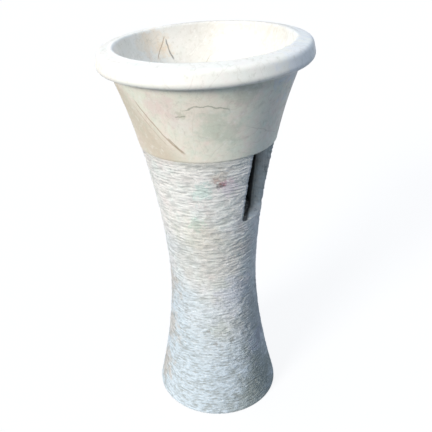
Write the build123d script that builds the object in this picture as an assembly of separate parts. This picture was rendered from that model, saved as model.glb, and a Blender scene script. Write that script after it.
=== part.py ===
from build123d import *
import os
from math import cos, radians, sin, sqrt

# Round stone planter on its own hollow pedestal, turned from two blocks of the same pale stone.
# The polished bowl block, with its thick rim, stands on three steel dowels in the top of a
# chiselled shaft. A notch sawn down from the shaft's top edge makes a lamp niche under the bowl,
# and a stone shelf in the hollow is the niche's floor. A brass drain through the bowl's floor
# drops water down a pipe behind the lamp, through the shelf and into the open foot.
# Millimetres. +Z is up, the origin is the centre of the foot on the ground, the niche faces -Y.

# Whole planter
PLANTER_HEIGHT = 900.0
BOWL_HEIGHT = 210.0  # bowl block, from the seam to the top of the rim
WALL = 32.0  # stone left around the shaft's hollow

# Outside of the shaft, which is turned to a waist between two sweeps
FOOT_RADIUS = 153.5
WAIST_RADIUS = 104.5
WAIST_HEIGHT = 335.0
FOOT_SWEEP = 1.7  # power of the curve from the waist down to the foot
FLARE_SWEEP = 1.8  # power of the curve from the waist up to the seam
SWEEP_STEPS = 5  # points that set out each sweep
FOOT_ARRIS = 5.0  # bevel at the foot's outer edge
HOLLOW_ARRIS = 4.0  # bevel where the hollow opens into the foot

# Seam between the two blocks
SEAM_RADIUS = 151.5  # underside of the bowl block
CHISEL_SETBACK = 2.5  # the chiselled shaft stands this far inside the polished block
SEAM_ARRIS = 1.5  # bevel on both blocks

# Flank and rim of the bowl block
FLANK_SAG = 3.7  # how far the flank bows inwards
NECK_RADIUS = 201.0  # where the flank meets the underside of the rim
RIM_OVERHANG = 24.0  # from the neck out to the rim's widest
RIM_WIDTH = 41.0  # from the basin's mouth out to the rim's widest
RIM_DROP = 31.0  # from the rim's top down to its widest
RIM_TUCK = 10.0  # round from the rim's side back under it
RIM_LEAN = 12.0  # degrees that the rim's side leans in towards its top
RIM_BROW = 11.0  # round from the rim's side over to its top
RIM_FALL = 11.0  # degrees that the rim's top falls outwards
LIP_ROUND = 6.0  # round from the top of the rim into the basin

# Basin
STONE_UNDER_BASIN = 58.0
BASIN_FLOOR_MARGIN = 40.0  # level stone around the drain's recess

# Lamp niche and its shelf
NICHE_HEIGHT = 168.0
NICHE_WIDTH_TOP = 112.0
NICHE_WIDTH_SILL = 100.0
NICHE_CORNER = 7.0
SHELF_THICKNESS = 25.0
SHELF_LEDGE = 6.0  # how far the hollow is opened out above the shelf's underside
SHELF_CLEARANCE = 0.6
SHELF_ARRIS = 1.0

# Dowels across the seam
DOWEL_COUNT = 3
DOWEL_RADIUS = 6.0
DOWEL_IN_SHAFT = 32.0
DOWEL_IN_BOWL = 28.0
DOWEL_HEADROOM = 4.0  # left over the dowels in the bowl block's sockets
DOWEL_BEVEL = 1.0
DOWEL_TURN = 60.0  # degrees from the middle of the niche to the first dowel
SHAFT_SOCKET_CLEARANCE = 0.05  # dowels are set in resin
BOWL_SOCKET_CLEARANCE = 0.6  # loose, so that the bowl block lifts off

# Brass drain, clamped through the bowl block by its backnut
DRAIN_FLANGE_RADIUS = 33.0
DRAIN_FLANGE_THICKNESS = 5.0
DRAIN_FLANGE_BEVEL = 1.0
DRAIN_THREAD_RADIUS = 20.95  # 1 1/4 inch pipe thread
DRAIN_WALL = 3.95
DRAIN_HOLE_CLEARANCE = 1.6
DRAIN_RECESS_CLEARANCE = 1.5
GASKET_THICKNESS = 3.0
GASKET_CLEARANCE = 0.3
NUT_WASHER_RADIUS = 31.0
NUT_WASHER_THICKNESS = 3.0
BACKNUT_ACROSS_FLATS = 56.0
BACKNUT_THICKNESS = 11.0
BACKNUT_BEVEL = 2.2  # height of the turning on the nut's corners
BACKNUT_FACE_STEP = 0.8  # how far each turned face lies inside the flats
THREAD_CLEARANCE = 0.1

# Lift-out strainer
STRAINER_RADIUS = 26.0
STRAINER_THICKNESS = 2.5
STRAINER_CLEARANCE = 0.5
STRAINER_HOLE_RADIUS = 2.0
STRAINER_HOLE_COUNTS = (6, 12)  # in each ring, from the knob outwards
STRAINER_RING_PITCH = 5.0
KNOB_RADIUS = 4.5
KNOB_HEIGHT = 9.0
KNOB_BEVEL = 1.5
KNOB_RIVET_RADIUS = 2.5
KNOB_RIVET_CLEARANCE = 0.05

# Union and drop pipe
UNION_GAP = 4.0  # thread left showing between the backnut and the union nut
UNION_ENGAGEMENT = 12.0
UNION_WALL = 5.0
UNION_LIP = 3.0
UNION_RIBS = 12
UNION_RIB_RADIUS = 1.6
UNION_WASHER_THICKNESS = 2.0
PIPE_RADIUS = 16.0
PIPE_WALL = 1.8
PIPE_COLLAR_THICKNESS = 3.0
PIPE_COLLAR_CLEARANCE = 0.4
PIPE_LIP_CLEARANCE = 0.4
PIPE_HOLE_CLEARANCE = 4.0
PIPE_BELOW_SHELF = 30.0
PIPE_BEVEL = 0.8

# Worked out from the sizes above
SEAM_HEIGHT = PLANTER_HEIGHT - BOWL_HEIGHT
SHAFT_TOP_RADIUS = SEAM_RADIUS - CHISEL_SETBACK
RIM_RADIUS = NECK_RADIUS + RIM_OVERHANG
MOUTH_RADIUS = RIM_RADIUS - RIM_WIDTH
RIM_WIDEST_HEIGHT = PLANTER_HEIGHT - RIM_DROP
NECK_HEIGHT = RIM_WIDEST_HEIGHT - RIM_TUCK
LIP_HEIGHT = PLANTER_HEIGHT - LIP_ROUND
BASIN_FLOOR = SEAM_HEIGHT + STONE_UNDER_BASIN
SILL_HEIGHT = SEAM_HEIGHT - NICHE_HEIGHT
SHELF_UNDERSIDE = SILL_HEIGHT - SHELF_THICKNESS
FLANGE_UNDERSIDE = BASIN_FLOOR - DRAIN_FLANGE_THICKNESS
RECESS_FLOOR = FLANGE_UNDERSIDE - GASKET_THICKNESS
RECESS_RADIUS = DRAIN_FLANGE_RADIUS + DRAIN_RECESS_CLEARANCE
BASIN_FLOOR_RADIUS = RECESS_RADIUS + BASIN_FLOOR_MARGIN
STRAINER_SEAT = BASIN_FLOOR - STRAINER_THICKNESS
BACKNUT_TOP = SEAM_HEIGHT - NUT_WASHER_THICKNESS
BACKNUT_BOTTOM = BACKNUT_TOP - BACKNUT_THICKNESS
UNION_TOP = BACKNUT_BOTTOM - UNION_GAP
DRAIN_END = UNION_TOP - UNION_ENGAGEMENT
PIPE_TOP = DRAIN_END - UNION_WASHER_THICKNESS
COLLAR_UNDERSIDE = PIPE_TOP - PIPE_COLLAR_THICKNESS
UNION_BOTTOM = COLLAR_UNDERSIDE - UNION_LIP
PIPE_END = SHELF_UNDERSIDE - PIPE_BELOW_SHELF
NUT_BORE_RADIUS = DRAIN_THREAD_RADIUS + THREAD_CLEARANCE
BOTTOM, TOP = 0, -1
INNER, OUTER = 0, -1


def shaft_radius(height):
    """Outer radius of the shaft at a height above the ground."""
    if height < WAIST_HEIGHT:
        share = (WAIST_HEIGHT - height) / WAIST_HEIGHT
        return WAIST_RADIUS + (FOOT_RADIUS - WAIST_RADIUS) * share**FOOT_SWEEP
    share = (height - WAIST_HEIGHT) / (SEAM_HEIGHT - WAIST_HEIGHT)
    return WAIST_RADIUS + (SHAFT_TOP_RADIUS - WAIST_RADIUS) * share**FLARE_SWEEP


def hollow_radius(height):
    """Radius of the hollow, which follows the outside of the shaft at one wall's thickness."""
    return shaft_radius(height) - WALL


def sweep_curve(radius_at, bottom, top):
    """Curve of a radius against height, through the waist, between two heights."""
    foot_step = (WAIST_HEIGHT - bottom) / SWEEP_STEPS
    flare_step = (top - WAIST_HEIGHT) / SWEEP_STEPS
    heights = [bottom + foot_step * i for i in range(SWEEP_STEPS)]
    heights += [WAIST_HEIGHT + flare_step * i for i in range(SWEEP_STEPS + 1)]
    return Spline(*[(radius_at(height), height) for height in heights])


def turned(*outline):
    """Solid turned about the planter's axis from a closed outline of radius and height."""
    return revolve(Plane.XZ * make_face(outline), Axis.Z)


def bar(radius, bottom, top):
    return Pos(0, 0, bottom) * extrude(Circle(radius), top - bottom)


def ring(outer, inner, bottom, top):
    return bar(outer, bottom, top) - bar(inner, bottom, top)


def at_dowels(solid):
    """The solid at each dowel's place, midway through the shaft's wall and clear of the niche."""
    pitch_radius = SHAFT_TOP_RADIUS - WALL / 2
    angles = [radians(DOWEL_TURN - 90 + 360 * i / DOWEL_COUNT) for i in range(DOWEL_COUNT)]
    return [Pos(pitch_radius * cos(a), pitch_radius * sin(a), 0) * solid for a in angles]


def edge_ring(solid, end, side):
    """Inner or outer circular edge at the top or bottom of a solid."""
    edges = solid.edges().filter_by(GeomType.CIRCLE).group_by(Axis.Z)[end]
    return edges.sort_by(SortBy.RADIUS)[side]


def make_shaft_blank():
    """Turned and cored shaft, with bevelled edges."""
    outside = sweep_curve(shaft_radius, FOOT_ARRIS, SEAM_HEIGHT - SEAM_ARRIS)
    inside = sweep_curve(hollow_radius, HOLLOW_ARRIS, SEAM_HEIGHT)
    foot_inner = hollow_radius(0) + HOLLOW_ARRIS
    foot = Polyline(inside @ 0, (foot_inner, 0), (FOOT_RADIUS - FOOT_ARRIS, 0), outside @ 0)
    top = Polyline(outside @ 1, (SHAFT_TOP_RADIUS - SEAM_ARRIS, SEAM_HEIGHT), inside @ 1)
    return turned(outside, top, inside, foot)


def make_niche_cut():
    """Notch through the front wall: wider at the top, with rounded corners at the sill."""
    widening = (NICHE_WIDTH_TOP - NICHE_WIDTH_SILL) / 2 / NICHE_HEIGHT
    above = NICHE_CORNER  # the cut runs on past the shaft's top edge
    half_top = NICHE_WIDTH_TOP / 2 + widening * above
    half_sill = NICHE_WIDTH_SILL / 2
    corners = [
        (-half_top, SEAM_HEIGHT + above),
        (-half_sill, SILL_HEIGHT),
        (half_sill, SILL_HEIGHT),
        (half_top, SEAM_HEIGHT + above),
    ]
    notch = make_face(Polyline(*corners, close=True))
    notch = fillet(notch.vertices().group_by(Axis.Y)[0], NICHE_CORNER)
    return extrude(Plane.XZ * notch, SHAFT_TOP_RADIUS + WALL)


def shelf_seat_radius():
    return hollow_radius(SHELF_UNDERSIDE) + SHELF_LEDGE


def make_shaft():
    shaft = make_shaft_blank()
    shaft -= bar(shelf_seat_radius(), SHELF_UNDERSIDE, SEAM_HEIGHT)
    shaft -= make_niche_cut()
    socket_radius = DOWEL_RADIUS + SHAFT_SOCKET_CLEARANCE
    socket = bar(socket_radius, SEAM_HEIGHT - DOWEL_IN_SHAFT, SEAM_HEIGHT)
    return shaft - at_dowels(socket)


def make_niche_shelf():
    shelf = bar(shelf_seat_radius() - SHELF_CLEARANCE, SHELF_UNDERSIDE, SILL_HEIGHT)
    shelf -= bar(PIPE_RADIUS + PIPE_HOLE_CLEARANCE, SHELF_UNDERSIDE, SILL_HEIGHT)
    top_edges = [edge_ring(shelf, TOP, OUTER), edge_ring(shelf, TOP, INNER)]
    return chamfer(top_edges, SHELF_ARRIS)


def make_dowels():
    dowel = bar(DOWEL_RADIUS, SEAM_HEIGHT - DOWEL_IN_SHAFT, SEAM_HEIGHT + DOWEL_IN_BOWL)
    dowel = chamfer(dowel.edges().filter_by(GeomType.CIRCLE), DOWEL_BEVEL)
    return Compound(at_dowels(dowel))


def rim_outline():
    """Tucked underside, leaning side, brow, falling top and lip of the rim, from the outside in."""
    tuck_centre = (RIM_RADIUS - RIM_TUCK, RIM_WIDEST_HEIGHT)
    tuck = CenterArc(tuck_centre, RIM_TUCK, -90, 90 + RIM_LEAN)
    lip_centre = (MOUTH_RADIUS + LIP_ROUND, LIP_HEIGHT)
    lip = CenterArc(lip_centre, LIP_ROUND, 90 - RIM_FALL, 90 + RIM_FALL)
    top = PolarLine(lip @ 0, RIM_WIDTH, -RIM_FALL)
    side = IntersectingLine(tuck @ 1, tuck % 1, top)
    brow = FilletPolyline(tuck @ 1, side @ 1, lip @ 0, radius=RIM_BROW)
    return tuck, brow, lip


def make_bowl_blank():
    """Turned bowl block before the basin is cut: bevel, flank, rim and lip."""
    flank_start = (SEAM_RADIUS, SEAM_HEIGHT + SEAM_ARRIS)
    flank = SagittaArc(flank_start, (NECK_RADIUS, NECK_HEIGHT), FLANK_SAG)
    tuck, brow, lip = rim_outline()
    underside = Line(flank @ 1, tuck @ 0)
    core = Polyline(lip @ 1, (0, LIP_HEIGHT), (0, SEAM_HEIGHT))
    bed = Polyline(core @ 1, (SEAM_RADIUS - SEAM_ARRIS, SEAM_HEIGHT), flank_start)
    return turned(flank, underside, tuck, brow, lip, core, bed)


def make_basin():
    """Slice of a sphere, from the edge of the level floor up to the lip."""
    depth = LIP_HEIGHT - BASIN_FLOOR
    widening = MOUTH_RADIUS**2 - BASIN_FLOOR_RADIUS**2
    centre_height = (LIP_HEIGHT + BASIN_FLOOR + widening / depth) / 2
    radius = sqrt(MOUTH_RADIUS**2 + (centre_height - LIP_HEIGHT) ** 2)
    return Pos(0, 0, centre_height) * Sphere(radius) & bar(2 * radius, BASIN_FLOOR, LIP_HEIGHT)


def make_bowl():
    bowl = make_bowl_blank() - make_basin()
    bowl -= bar(RECESS_RADIUS, RECESS_FLOOR, BASIN_FLOOR)
    bowl -= bar(DRAIN_THREAD_RADIUS + DRAIN_HOLE_CLEARANCE, SEAM_HEIGHT, RECESS_FLOOR)
    socket_radius = DOWEL_RADIUS + BOWL_SOCKET_CLEARANCE
    socket = bar(socket_radius, SEAM_HEIGHT, SEAM_HEIGHT + DOWEL_IN_BOWL + DOWEL_HEADROOM)
    return bowl - at_dowels(socket)


def make_drain_body():
    drain = bar(DRAIN_FLANGE_RADIUS, FLANGE_UNDERSIDE, BASIN_FLOOR)
    drain = chamfer(edge_ring(drain, TOP, OUTER), DRAIN_FLANGE_BEVEL)
    drain += bar(DRAIN_THREAD_RADIUS, DRAIN_END, FLANGE_UNDERSIDE)
    drain -= bar(STRAINER_RADIUS + STRAINER_CLEARANCE, STRAINER_SEAT, BASIN_FLOOR)
    return drain - bar(DRAIN_THREAD_RADIUS - DRAIN_WALL, DRAIN_END, STRAINER_SEAT)


def make_strainer():
    """Perforated plate, with a hole in its middle for the knob's rivet."""
    strainer = bar(STRAINER_RADIUS, STRAINER_SEAT, BASIN_FLOOR)
    strainer -= bar(KNOB_RIVET_RADIUS + KNOB_RIVET_CLEARANCE, STRAINER_SEAT, BASIN_FLOOR)
    hole = Pos(KNOB_RADIUS, 0, 0) * bar(STRAINER_HOLE_RADIUS, STRAINER_SEAT, BASIN_FLOOR)
    for count in STRAINER_HOLE_COUNTS:
        hole = Pos(STRAINER_RING_PITCH, 0, 0) * hole
        strainer -= [Rot(0, 0, 360 * i / count) * hole for i in range(count)]
    return strainer


def make_strainer_knob():
    """Knob to lift the strainer by, riveted through the plate."""
    knob = bar(KNOB_RADIUS, BASIN_FLOOR, BASIN_FLOOR + KNOB_HEIGHT)
    knob = chamfer(edge_ring(knob, TOP, OUTER), KNOB_BEVEL)
    return knob + bar(KNOB_RIVET_RADIUS, STRAINER_SEAT, BASIN_FLOOR)


def make_flange_gasket():
    inner = DRAIN_THREAD_RADIUS + GASKET_CLEARANCE
    return ring(DRAIN_FLANGE_RADIUS, inner, RECESS_FLOOR, FLANGE_UNDERSIDE)


def make_nut_washer():
    inner = DRAIN_THREAD_RADIUS + GASKET_CLEARANCE
    return ring(NUT_WASHER_RADIUS, inner, BACKNUT_TOP, SEAM_HEIGHT)


def make_backnut():
    """Hexagon nut with its corners turned off at both ends."""
    hexagon = RegularPolygon(BACKNUT_ACROSS_FLATS / 2, 6, major_radius=False)
    nut = Pos(0, 0, BACKNUT_BOTTOM) * extrude(hexagon, BACKNUT_THICKNESS)
    face_radius = BACKNUT_ACROSS_FLATS / 2 - BACKNUT_FACE_STEP
    corner_radius = BACKNUT_ACROSS_FLATS / 2 / cos(radians(30))
    blank = Polyline(
        (0, BACKNUT_BOTTOM),
        (face_radius, BACKNUT_BOTTOM),
        (corner_radius, BACKNUT_BOTTOM + BACKNUT_BEVEL),
        (corner_radius, BACKNUT_TOP - BACKNUT_BEVEL),
        (face_radius, BACKNUT_TOP),
        (0, BACKNUT_TOP),
        close=True,
    )
    return (nut & turned(blank)) - bar(NUT_BORE_RADIUS, BACKNUT_BOTTOM, BACKNUT_TOP)


def make_union_washer():
    return ring(DRAIN_THREAD_RADIUS, PIPE_RADIUS, PIPE_TOP, DRAIN_END)


def make_union_nut():
    """Hand nut with grip ribs: thread above, lip under the pipe's collar below."""
    outer = NUT_BORE_RADIUS + UNION_WALL
    nut = bar(outer, UNION_BOTTOM, UNION_TOP)
    rib = Pos(outer, 0, 0) * bar(UNION_RIB_RADIUS, UNION_BOTTOM, UNION_TOP)
    nut += [Rot(0, 0, 360 * i / UNION_RIBS) * rib for i in range(UNION_RIBS)]
    nut -= bar(NUT_BORE_RADIUS, COLLAR_UNDERSIDE, UNION_TOP)
    return nut - bar(PIPE_RADIUS + PIPE_LIP_CLEARANCE, UNION_BOTTOM, COLLAR_UNDERSIDE)


def make_drop_pipe():
    pipe = bar(PIPE_RADIUS, PIPE_END, PIPE_TOP)
    pipe = chamfer(edge_ring(pipe, BOTTOM, OUTER), PIPE_BEVEL)
    pipe += bar(NUT_BORE_RADIUS - PIPE_COLLAR_CLEARANCE, COLLAR_UNDERSIDE, PIPE_TOP)
    return pipe - bar(PIPE_RADIUS - PIPE_WALL, PIPE_END, PIPE_TOP)


parts = {
    "shaft": make_shaft(),
    "niche_shelf": make_niche_shelf(),
    "dowels": make_dowels(),
    "bowl": make_bowl(),
    "flange_gasket": make_flange_gasket(),
    "drain_body": make_drain_body(),
    "drain_strainer": make_strainer(),
    "strainer_knob": make_strainer_knob(),
    "nut_washer": make_nut_washer(),
    "backnut": make_backnut(),
    "union_washer": make_union_washer(),
    "union_nut": make_union_nut(),
    "drop_pipe": make_drop_pipe(),
}

os.makedirs("parts", exist_ok=True)
for node, solid in parts.items():
    export_step(solid, f"parts/{node}.step")
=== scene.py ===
"""Looks of a round stone planter: a rubbed bowl block on a hollow shaft that a point chisel has dressed."""

from math import asin, cos, pi, radians, sin, sqrt

import bmesh
import bpy
from mathutils import Matrix, Vector, noise


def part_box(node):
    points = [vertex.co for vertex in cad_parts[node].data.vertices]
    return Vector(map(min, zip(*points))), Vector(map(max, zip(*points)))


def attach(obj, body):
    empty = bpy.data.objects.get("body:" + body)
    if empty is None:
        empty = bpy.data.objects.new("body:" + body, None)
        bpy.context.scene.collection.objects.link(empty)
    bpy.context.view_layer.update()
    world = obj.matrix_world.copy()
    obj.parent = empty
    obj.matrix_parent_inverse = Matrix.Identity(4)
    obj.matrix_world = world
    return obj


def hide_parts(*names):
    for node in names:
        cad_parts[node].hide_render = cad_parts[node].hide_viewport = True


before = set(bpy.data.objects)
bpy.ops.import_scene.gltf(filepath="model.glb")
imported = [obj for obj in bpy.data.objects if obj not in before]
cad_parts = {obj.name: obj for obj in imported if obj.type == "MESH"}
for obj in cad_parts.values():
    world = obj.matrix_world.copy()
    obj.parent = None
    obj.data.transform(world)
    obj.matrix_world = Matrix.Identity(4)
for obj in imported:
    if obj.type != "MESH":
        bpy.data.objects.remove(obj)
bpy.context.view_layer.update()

MM = 0.001
TOUCHING = 0.01 * MM  # heights no farther apart than this are the same

# Viewpoint, in metres and degrees
VIEW_AZIMUTH = -60.0
VIEW_DISTANCE = 1.2439
VIEW_HEIGHT = 1.1667
VIEW_TILT = 28.30
VIEW_TURN = -5.08
VIEW_ROLL = -4.86
LENS = 49.8
SHIFT = 0.1205

# Heights and radii that the pieces share, read from the frame
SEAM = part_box("bowl")[0].z
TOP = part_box("bowl")[1].z
RIM_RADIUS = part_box("bowl")[1].x
SHELF_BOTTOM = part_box("niche_shelf")[0].z
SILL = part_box("niche_shelf")[1].z
SHELF_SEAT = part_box("niche_shelf")[1].x + 0.6 * MM  # the wall round it, clear of the shelf
BASIN_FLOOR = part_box("drain_body")[1].z
SOCKET_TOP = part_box("dowels")[1].z + 4 * MM  # with headroom over the dowels

# Shaft, outside and inside
FOOT_RADIUS = 153.5 * MM
WAIST_RADIUS = 104.5 * MM
WAIST = 335 * MM
SHAFT_TOP_RADIUS = 149 * MM
FOOT_SWEEP = 1.7
FLARE_SWEEP = 1.8
WALL = 32 * MM
FOOT_ROUND = 5 * MM
HOLLOW_BEVEL = 4 * MM
SEAM_BEVEL = 1.5 * MM

# Niche
NICHE_TOP = 55 * MM  # half its width at the seam
NICHE_SILL = 48.5 * MM  # and at the sill
NICHE_CORNER = 7 * MM

# How finely the shaft's skin is divided; the hollow takes one face for COARSER by COARSER of these
SKIN_COLUMNS = 160  # from one side of the niche round the back to the other
NICHE_COLUMNS = 24
SKIN_ROWS_BELOW_SILL = 384
SKIN_ROWS_ABOVE_SILL = 124
COARSER = 4

# Bowl block
SEAM_RADIUS = 151.5 * MM
NECK_RADIUS = 201 * MM
FLANK_SAG = 3.7 * MM
RIM_DROP = 31 * MM
RIM_TUCK = 10 * MM
RIM_LEAN = 12.0  # degrees that its side leans in
RIM_BROW = 11 * MM
RIM_FALL = 11.0  # degrees that its top falls outwards
LIP_ROUND = 6 * MM
MOUTH_RADIUS = 184 * MM
FLOOR_RADIUS = 74.5 * MM
RECESS_RADIUS = 34.5 * MM
RECESS_FLOOR = BASIN_FLOOR - 8 * MM
DRAIN_HOLE_RADIUS = 22.55 * MM
BOWL_COLUMNS = 192
BOWL_STEP = 3.5 * MM  # longest stretch of its profile between two rings
HAND_RUBBING = 0.7 * MM  # how far rubbing by hand left the block from true
RUBBED_SPAN = 70 * MM  # and over what width
SOCKET_RADIUS = 6.6 * MM
SOCKET_PITCH = 133 * MM
SOCKET_ANGLES = (-30, 90, 210)


def linear(colour):
    """Linear colour of an sRGB hex value."""
    parts = [int(colour[i : i + 2], 16) / 255 for i in (1, 3, 5)]
    return [c / 12.92 if c <= 0.04045 else ((c + 0.055) / 1.055) ** 2.4 for c in parts] + [1.0]


def add(tree, kind, links=None, **settings):
    """Adds a node with its settings, and a value or another node's output for some of its inputs."""
    node = tree.nodes.new(kind)
    for name, value in settings.items():
        setattr(node, name, value)
    for key, value in (links or {}).items():
        if isinstance(key, int):
            socket = node.inputs[key]
        else:
            socket = next(s for s in node.inputs if s.enabled and s.name == key)
        if isinstance(value, bpy.types.Node):
            value = next(s for s in value.outputs if s.enabled)
        if isinstance(value, bpy.types.NodeSocket):
            tree.links.new(value, socket)
        else:
            socket.default_value = value
    return node


def new_object(name, data):
    """Object of a mesh, camera or lamp, put in the scene."""
    thing = bpy.data.objects.new(name, data)
    bpy.context.scene.collection.objects.link(thing)
    return thing


def finished(mesh, name, material=None, crease=None):
    """Mesh of the faces drawn so far, smooth but for edges that bend by more than the crease's degrees."""
    if crease:
        for edge in mesh.edges:
            edge.smooth = edge.calc_face_angle(0) < radians(crease)
        for face in mesh.faces:
            face.smooth = True
    result = bpy.data.meshes.new(name)
    mesh.to_mesh(result)
    mesh.free()
    if material:
        result.materials.append(material)
    return result


def piece(name, mesh, body, node):
    """Puts in a finished mesh that rides a body and stands for a node of the solid model."""
    thing = new_object(name, mesh)
    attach(thing, body)
    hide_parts(node)


# Camera

camera = new_object("camera", bpy.data.cameras.new("camera"))
camera.data.lens = LENS
camera.data.shift_x = SHIFT
camera.data.clip_start = 50 * MM
aim = Matrix.Rotation(radians(-VIEW_TURN), 4, "Z")
aim = aim @ Matrix.Rotation(radians(90 - VIEW_TILT), 4, "X")
aim = aim @ Matrix.Rotation(radians(VIEW_ROLL), 4, "Z")
stand = Matrix.Translation((0, -VIEW_DISTANCE, VIEW_HEIGHT))
camera.matrix_world = Matrix.Rotation(radians(VIEW_AZIMUTH), 4, "Z") @ stand @ aim
bpy.context.scene.camera = camera


# Materials

LIMESTONE_IOR = 1.55


def start_material(name):
    """New material whose tree of nodes is still empty."""
    material = bpy.data.materials.new(name)
    material.use_nodes = True
    material.node_tree.nodes.clear()
    return material, material.node_tree


def finish_material(tree, body, relief, shader):
    """Shader with its body colour, fine relief and other values, joined to the material's output."""
    surface = add(tree, "ShaderNodeBsdfPrincipled", {"Base Color": body, "Normal": relief, **shader})
    add(tree, "ShaderNodeOutputMaterial", {"Surface": surface})


def tinted(tree, body, colour, value, start, full, share=1.0):
    """Body colour that turns to another where a value goes from start to full, by at most a share."""
    factor = add(
        tree, "ShaderNodeMapRange", {"Value": value, "From Min": start, "From Max": full, "To Max": share}
    )
    return add(tree, "ShaderNodeMix", {"Factor": factor, 6: body, 7: linear(colour)}, data_type="RGBA")


def start_mask_group(name, vectors, numbers):
    """New group of shader nodes that gives a mask, and the values given to it."""
    tree = bpy.data.node_groups.new(name, "ShaderNodeTree")
    for names, kind in ((vectors, "NodeSocketVector"), (numbers, "NodeSocketFloat")):
        for socket in names:
            tree.interface.new_socket(socket, in_out="INPUT", socket_type=kind)
    tree.interface.new_socket("Mask", in_out="OUTPUT", socket_type="NodeSocketFloat")
    return tree, add(tree, "NodeGroupInput").outputs


def make_vein_group():
    """Mask of a vein where a bent, wavy sheet of another mineral comes out, within reach of a point."""
    tree, given = start_mask_group(
        "vein", ("Place", "Middle", "Bend Centre"), ("Bend", "Reach", "Width", "Waver", "Waves")
    )
    away = add(tree, "ShaderNodeVectorMath", {0: given["Place"], 1: given["Middle"]}, operation="SUBTRACT")
    out = add(
        tree, "ShaderNodeVectorMath", {0: given["Place"], 1: given["Bend Centre"]}, operation="DISTANCE"
    ).outputs["Value"]
    across = add(tree, "ShaderNodeMath", {0: out, 1: given["Bend"]}, operation="SUBTRACT")
    wave = add(tree, "ShaderNodeTexNoise", {"Vector": given["Place"], "Scale": given["Waves"], "Detail": 3.0})
    wave = add(tree, "ShaderNodeMath", {0: wave, 1: 0.5}, operation="SUBTRACT")
    wave = add(tree, "ShaderNodeMath", {0: wave, 1: given["Waver"]}, operation="MULTIPLY")
    off = add(tree, "ShaderNodeMath", {0: across, 1: wave}, operation="ADD")
    off = add(tree, "ShaderNodeMath", {0: off}, operation="ABSOLUTE")
    line = add(
        tree,
        "ShaderNodeMapRange",
        {"Value": off, "From Min": 0.0, "From Max": given["Width"], "To Min": 1.0, "To Max": 0.0},
        interpolation_type="SMOOTHSTEP",
    )
    distance = add(tree, "ShaderNodeVectorMath", {0: away}, operation="LENGTH").outputs["Value"]
    start = add(tree, "ShaderNodeMath", {0: given["Reach"], 1: 0.7}, operation="MULTIPLY")
    fade = add(
        tree,
        "ShaderNodeMapRange",
        {"Value": distance, "From Min": start, "From Max": given["Reach"], "To Min": 1.0, "To Max": 0.0},
        interpolation_type="SMOOTHSTEP",
    )
    mask = add(tree, "ShaderNodeMath", {0: line, 1: fade}, operation="MULTIPLY")
    add(tree, "NodeGroupOutput", {"Mask": mask})
    return tree


vein_group = make_vein_group()


def make_stain_group():
    """Mask of a ragged patch round a point, for stains, other minerals and patches of painted light and
    shade.
    """
    tree, given = start_mask_group("stain", ("Place", "Middle"), ("Size", "Grain"))
    distance = add(
        tree, "ShaderNodeVectorMath", {0: given["Place"], 1: given["Middle"]}, operation="DISTANCE"
    ).outputs["Value"]
    share = add(tree, "ShaderNodeMath", {0: distance, 1: given["Size"]}, operation="DIVIDE")
    ragged = add(
        tree,
        "ShaderNodeTexNoise",
        {"Vector": given["Place"], "Scale": given["Grain"], "Detail": 4.0, "Roughness": 0.6},
    )
    ragged = add(tree, "ShaderNodeMath", {0: ragged, 1: 0.5}, operation="SUBTRACT")
    ragged = add(tree, "ShaderNodeMath", {0: ragged, 1: 2.6}, operation="MULTIPLY")
    edge = add(tree, "ShaderNodeMath", {0: share, 1: ragged}, operation="ADD")
    mask = add(
        tree,
        "ShaderNodeMapRange",
        {"Value": edge, "From Min": 1.0, "From Max": 0.35},
        interpolation_type="SMOOTHSTEP",
    )
    add(tree, "NodeGroupOutput", {"Mask": mask})
    return tree


stain_and_painted_light_group = make_stain_group()


def with_stains_and_painted_light(tree, place, body, stains):
    """Body colour with each stain or patch of painted light and shade mixed in: middle, size, grain, colour
    and strength.
    """
    for middle, size, grain, colour, strength in stains:
        middle = [v * MM for v in middle]
        given = {"Place": place, "Middle": middle, "Size": size * MM, "Grain": 1 / (grain * MM)}
        stain = add(tree, "ShaderNodeGroup", given, node_tree=stain_and_painted_light_group)
        shade = add(tree, "ShaderNodeMath", {0: stain, 1: strength}, operation="MULTIPLY")
        body = add(tree, "ShaderNodeMix", {"Factor": shade, 6: body, 7: linear(colour)}, data_type="RGBA")
    return body


def limestone_clouds(tree, place, warm, cool, green, pink):
    """Body colour of the stone: warm and cool clouds a hand wide, with smaller green and pink ones."""
    cloud = add(
        tree,
        "ShaderNodeTexNoise",
        {"Vector": place, "Scale": 1 / (95 * MM), "Detail": 5.0, "Distortion": 0.6},
    )
    cloud = add(tree, "ShaderNodeMapRange", {"Value": cloud, "From Min": 0.38, "From Max": 0.62})
    body = add(tree, "ShaderNodeMix", {"Factor": cloud, 6: linear(warm), 7: linear(cool)}, data_type="RGBA")
    # moved, so that the small clouds don't follow the large ones
    shift = add(tree, "ShaderNodeVectorMath", {0: place, 1: (1.7, 0.4, 2.9)}, operation="ADD")
    small = add(
        tree,
        "ShaderNodeTexNoise",
        {"Vector": shift, "Scale": 1 / (34 * MM), "Detail": 6.0, "Roughness": 0.62},
    )
    body = tinted(tree, body, green, small, 0.50, 0.72, 0.75)
    return tinted(tree, body, pink, small, 0.47, 0.28, 0.75)
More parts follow.
